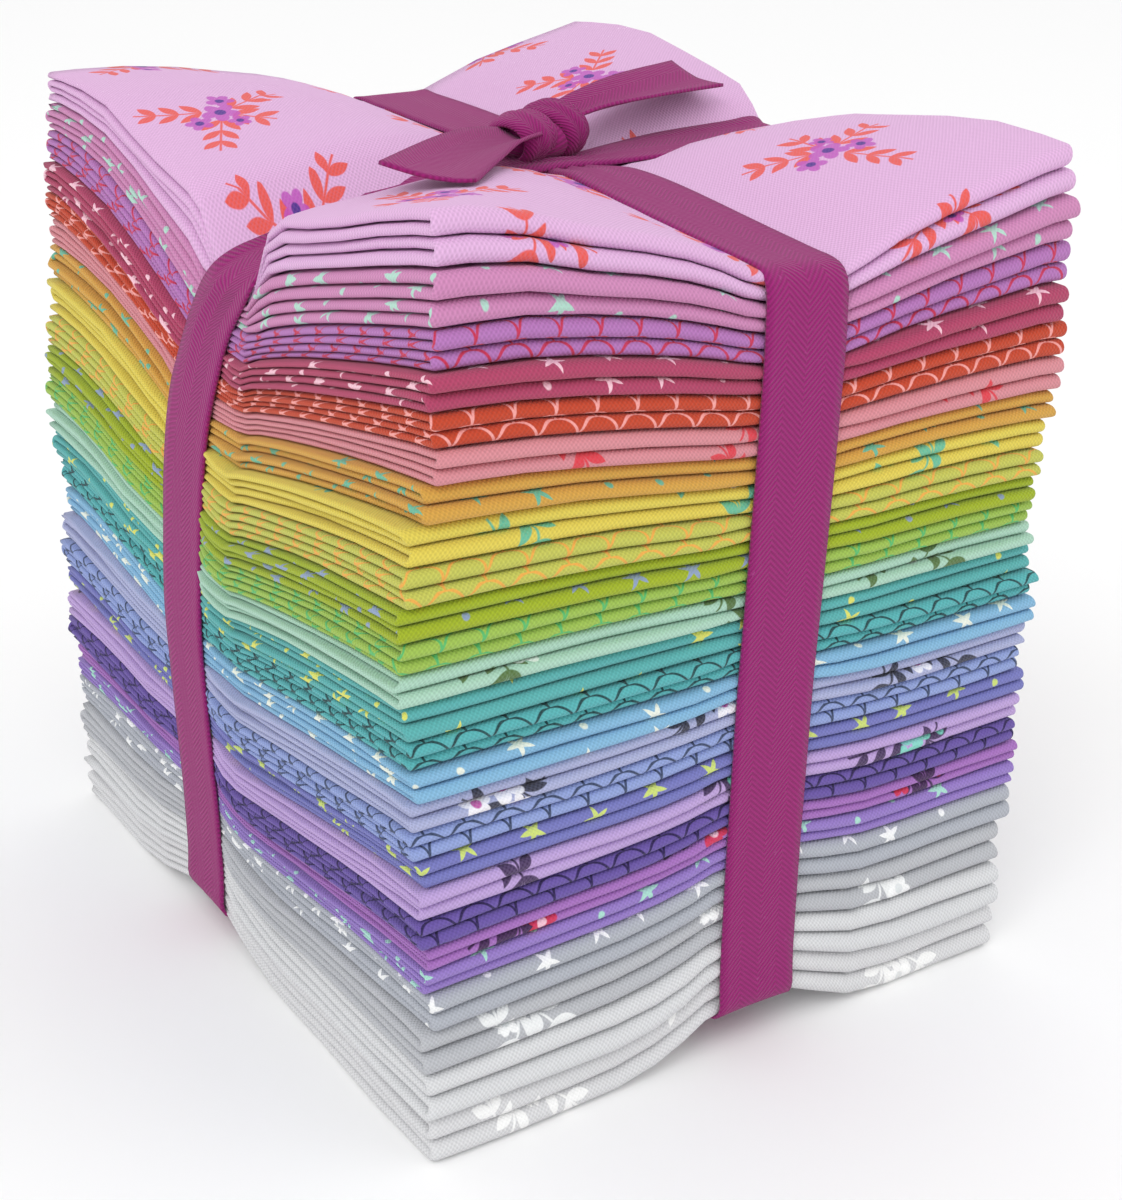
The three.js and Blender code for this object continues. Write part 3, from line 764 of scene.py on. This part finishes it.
def wrong_side(index, cut):
    material, tree, shader, a, b = new_material(f"cotton_{index + 1:02d}_wrong_side")
    weave = weave_of(a, b)
    ground = colour(cut.ground)
    pale = [c + (WRONG_SIDE_TONE - c) * WRONG_SIDE_PALE for c in ground[:3]]
    # Painted shade in the wrong side's weave hollows, following the bump's relief
    paint = blend(tree, weave * 0.5 + 0.5, [WRONG_SIDE_SHADE * c for c in pale] + [1], pale + [1])
    finish_cloth(tree, shader, paint, weave, WRONG_SIDE_RELIEF)
    return material


# Herringbone twill: slanted ribs that turn over every few millimetres
RIB_PITCH = 0.95
RIB_COLUMN = 3.65
RIB_SHADE = 0.72
RIB_RELIEF = 0.06
TWILL_THREAD = (0.7, 0.5)
SPECK_COLOUR = [0.5, 0.12, 0.36, 1]
SPECK_SCALE = 900
SPECK_COVER = 0.25


def twill():
    material, tree, shader, a, b = new_material("tape_twill")
    zigzag = ((a / (2 * RIB_COLUMN)).part() - 0.5).size() * 2 * RIB_COLUMN
    ribs = ((b + zigzag) * (2 * math.pi / RIB_PITCH)).sine()
    across, along = TWILL_THREAD
    thread = (b * (2 * math.pi / along)).sine() * (a * (2 * math.pi / across)).sine()
    height = ribs + thread * 0.4
    noise = tree.nodes.new("ShaderNodeTexNoise")
    noise.inputs["Scale"].default_value = SPECK_SCALE
    noise.inputs["Detail"].default_value = 2
    uv = next(n for n in tree.nodes if n.bl_idname == "ShaderNodeUVMap")
    tree.links.new(uv.outputs[0], noise.inputs["Vector"])
    speck = Field(tree, noise.outputs["Fac"])
    base = colour(TAPE_COLOUR)
    # Painted shade in the grooves between the ribs, following the bump's relief
    paint = blend(tree, ribs * 0.5 + 0.5, [RIB_SHADE * c for c in base[:3]] + [1], base)
    paint = blend(tree, speck.ramp(0.66, 0.8) * SPECK_COVER, paint, SPECK_COLOUR)
    finish_cloth(tree, shader, paint, height, RIB_RELIEF)
    return material


# A loop of the tape round the stack along one axis, as a grid of points across it
def tape_loop(axis):
    half_run = HALF_LENGTH if axis == "y" else HALF_WIDTH
    side = np.linspace(-1, 1, TAPE_POINTS)[None, :]
    if axis == "x":
        side = -side
    face = half_run - PRESS + TAPE_CLEAR
    levels = np.linspace(0, 1, FACE_POINTS)[:, None]
    shares = np.linspace(-1, 1, TOP_POINTS)[1:-1, None]

    # The tape swings a little wide round the stack's edges, so that the easing keeps it off the cloth
    def swing(share):
        return CORNER_SWING * np.clip((np.abs(share) - 1 + SWING_ZONE) / SWING_ZONE, 0, 1)

    def place(run, offset):
        return (offset, run) if axis == "y" else (run, offset)

    # The short way crosses over the long way
    def step(run):
        return TAPE_STEP * np.exp(-((run / TAPE_STEP_REACH) ** 4)) if axis == "x" else 0

    def on_face(way, level):
        offset = tie_at(axis, level, way) + side * TAPE_WIDTH / 2
        z = height_at(*place(way * half_run, offset), level)
        run = way * (face + swing(2 * level - 1)) + side_shift(axis, level, way)
        if axis == "x" and way < 0:
            crease = np.exp(-(((side - CREASE["at"]) / CREASE["width"]) ** 2))
            run = run - CREASE["depth"] * crease * np.clip((level - CREASE["from"]) / CREASE["over"], 0, 1)
        return np.stack(np.broadcast_arrays(*place(run, offset), z), axis=-1)

    def on_top(share):
        run = share * face + side_shift(axis, 1, share)
        near = np.exp(-(((run - KNOT_AT["xy".index(axis)]) / KNOT_REACH) ** 2))
        offset = tie_at(axis, 1, share) + side * TAPE_WIDTH / 2 * (1 - KNOT_NARROW * near)
        pleat = PLEAT["height"] * np.exp(-((run / PLEAT["reach"]) ** 2)) * np.cos(3 * math.pi * side)
        z = height_at(*place(run, offset), 1.0) + TAPE_CLEAR + step(run) + pleat + swing(share)
        return np.stack(np.broadcast_arrays(*place(run, offset), z), axis=-1)

    def underneath(share):
        run = share * face + side_shift(axis, 0, share)
        offset = tie_at(axis, 0, share) + side * TAPE_WIDTH / 2
        z = height_at(*place(run, offset), 0.0) - TAPE_CLEAR - step(run)
        return np.stack(np.broadcast_arrays(*place(run, offset), z), axis=-1)

    half = len(shares) // 2
    way_round = [
        underneath(shares[:half][::-1]), on_face(-1, levels), on_top(shares),
        on_face(1, levels[::-1]), underneath(shares[half - 1 :][::-1]),
    ]
    return evened(np.concatenate(way_round))


# The same grid at even steps along it, with its corners eased
def evened(grid):
    middle = grid[:, grid.shape[1] // 2]
    run = np.concatenate([[0], np.cumsum(np.linalg.norm(np.diff(middle, axis=0), axis=1))])
    steps = np.linspace(0, run[-1], int(run[-1] / TAPE_SPACING))
    flat = grid.reshape(len(grid), -1)
    even = np.stack([np.interp(steps, run, column) for column in flat.T], axis=-1)
    padded = np.pad(even, ((TAPE_SOFTEN // 2, TAPE_SOFTEN // 2), (0, 0)), mode="edge")
    soft = sum(padded[k : k + len(even)] for k in range(TAPE_SOFTEN)) / TAPE_SOFTEN
    return soft.reshape(len(even), -1, 3)


# Flat places of a strip of tape, at its true width
def tape_flat(grid):
    middle = grid[:, grid.shape[1] // 2]
    run = np.concatenate([[0], np.cumsum(np.linalg.norm(np.diff(middle, axis=0), axis=1))])
    wide = np.linspace(0, TAPE_WIDTH, grid.shape[1])
    return np.stack(np.broadcast_arrays(wide[None, :], run[:, None]), axis=-1)


# A vector at length one
def unit(vector):
    vector = np.array(vector, float)
    return vector / np.linalg.norm(vector, axis=-1, keepdims=True)


# A wrap of the knot: the tape once round an axis, puffed in its middle
def knot_band(band, crossing):
    axis = unit(band["axis"])
    flat_way = unit(np.cross([0, 0, 1], axis))
    up_way = np.cross(axis, flat_way)
    angle = np.linspace(*BAND_TURN, BAND_POINTS)[:, None, None]
    side = np.linspace(-1, 1, TAPE_POINTS)[None, :, None]
    puff = 1 - 0.22 * side**2 + 0.05 * np.cos(3 * math.pi * side)
    outward = (
        flat_way * band["radii"][0] * np.cos(angle) * puff + up_way * band["radii"][1] * np.sin(angle) * puff
    )
    centre = np.array(band["at"]) + [0, 0, crossing]
    return centre + outward - axis * band["half"] * side


# What fills the knot's inside
def knot_core(crossing):
    rows = np.linspace(CORE_OPEN, math.pi - CORE_OPEN, CORE_POINTS[0])[:, None]
    columns = np.linspace(0, 2 * math.pi, CORE_POINTS[1])[None, :]
    rx, ry, rz = KNOT_CORE["radii"]
    shape = [rx * np.sin(rows) * np.cos(columns), ry * np.sin(rows) * np.sin(columns), rz * np.cos(rows)]
    ball = np.stack(np.broadcast_arrays(*shape), axis=-1)
    return ball + np.array(KNOT_CORE["at"]) + [0, 0, crossing]


# A free end through its rows, held off the cloth where it would sink in
def free_end(rows, crossing):
    fine = np.linspace(0, len(rows) - 1, END_POINTS)
    table = [[k, *row] for k, row in enumerate(rows)]
    x, y, up, half, cup, tilt = [eased(table, k + 1, fine)[:, None] for k in range(6)]
    way = unit(np.concatenate([np.gradient(x, axis=0), np.gradient(y, axis=0)], axis=1))
    side = np.linspace(1, -1, TAPE_POINTS)[None, :]
    px = x - side * half * way[:, 1:]
    py = y + side * half * way[:, :1]
    pz = crossing + up + cup * np.abs(side) ** 1.5 + tilt * side
    rests = height_at(px, py, 1.0) + TAPE_CLEAR
    return np.stack([px, py, np.maximum(pz, rests)], axis=-1)


# All of the tape as one mesh, and its length
def tape_arrays():
    crossing = float(height_at(*KNOT_AT, 1.0)) + TAPE_CLEAR
    grids = [tape_loop("y"), tape_loop("x"), knot_core(crossing)]
    grids += [knot_band(band, crossing) for band in KNOT_BANDS]
    grids += [free_end(rows, crossing) for rows in FREE_ENDS]
    length = sum(tape_flat(grid)[-1, 0, 1] for grid in grids)
    return join_arrays([sheet_arrays(grid, tape_flat(grid), TAPE_THICK) for grid in grids]), length


# Build the cuts
level_top = STACK_HEIGHT
for number, row in enumerate(CUTS):
    level_low = max(0.0, level_top - row.height)
    sheet_grid, sheet_flat = folded_sheet(number, row, level_low / STACK_HEIGHT, level_top / STACK_HEIGHT)
    layer_thick = LAYER_SHARE * row.height / PASS_COUNT**2
    looks = [cotton(number, row), wrong_side(number, row)]
    piece = mesh_object(f"cut_{number + 1:02d}", sheet_arrays(sheet_grid, sheet_flat, layer_thick), looks)
    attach(piece, "root")
    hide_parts(f"fat_quarter_{number + 1:02d}")
    level_top = level_low

# Build the tape
tape_mesh, tape_length = tape_arrays()
twill_look = twill()
tape = mesh_object("tape_tie", tape_mesh, [twill_look, twill_look])
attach(tape, "root")
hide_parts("tape")

# Floor, light and camera
floor_look = bpy.data.materials.new("pale_floor")
floor_look.use_nodes = True
floor_shader = floor_look.node_tree.nodes["Principled BSDF"]
floor_shader.inputs["Base Color"].default_value = (FLOOR_TONE, FLOOR_TONE, FLOOR_TONE, 1)
floor_shader.inputs["Roughness"].default_value = FLOOR_ROUGHNESS
floor_corners = [(x * FLOOR_HALF, y * FLOOR_HALF, 0) for x, y in ((-1, -1), (1, -1), (1, 1), (-1, 1))]
floor_mesh = bpy.data.meshes.new("floor")
floor_mesh.from_pydata(floor_corners, [], [(0, 1, 2, 3)])
floor_mesh.materials.append(floor_look)
floor = bpy.data.objects.new("floor", floor_mesh)
bpy.context.scene.collection.objects.link(floor)

world = bpy.data.worlds.new("studio")
world.use_nodes = True
world.node_tree.nodes["Background"].inputs["Color"].default_value = (1, 1, 1, 1)
world.node_tree.nodes["Background"].inputs["Strength"].default_value = WORLD_STRENGTH
bpy.context.scene.world = world

for name, place, size, power in SOFTBOXES:
    light = bpy.data.lights.new(name, "AREA")
    light.shape = "SQUARE"
    light.size = size
    light.energy = power
    softbox = bpy.data.objects.new(name, light)
    softbox.location = place
    softbox.rotation_euler = (Vector(LIGHT_AIM) - Vector(place)).to_track_quat("-Z", "Y").to_euler()
    bpy.context.scene.collection.objects.link(softbox)

lens = bpy.data.cameras.new("view")
lens.lens = CAMERA_LENS
lens.sensor_width = SENSOR_WIDTH
lens.clip_start = CLIP_START
camera = bpy.data.objects.new("view", lens)
camera.location = CAMERA_AT
level_view = Vector(CAMERA_WAY).to_track_quat("-Z", "Y")
camera.rotation_euler = (level_view @ Quaternion((0, 0, 1), math.radians(CAMERA_ROLL))).to_euler()
bpy.context.scene.collection.objects.link(camera)
bpy.context.scene.camera = camera
bpy.context.scene.view_settings.view_transform = "Standard"
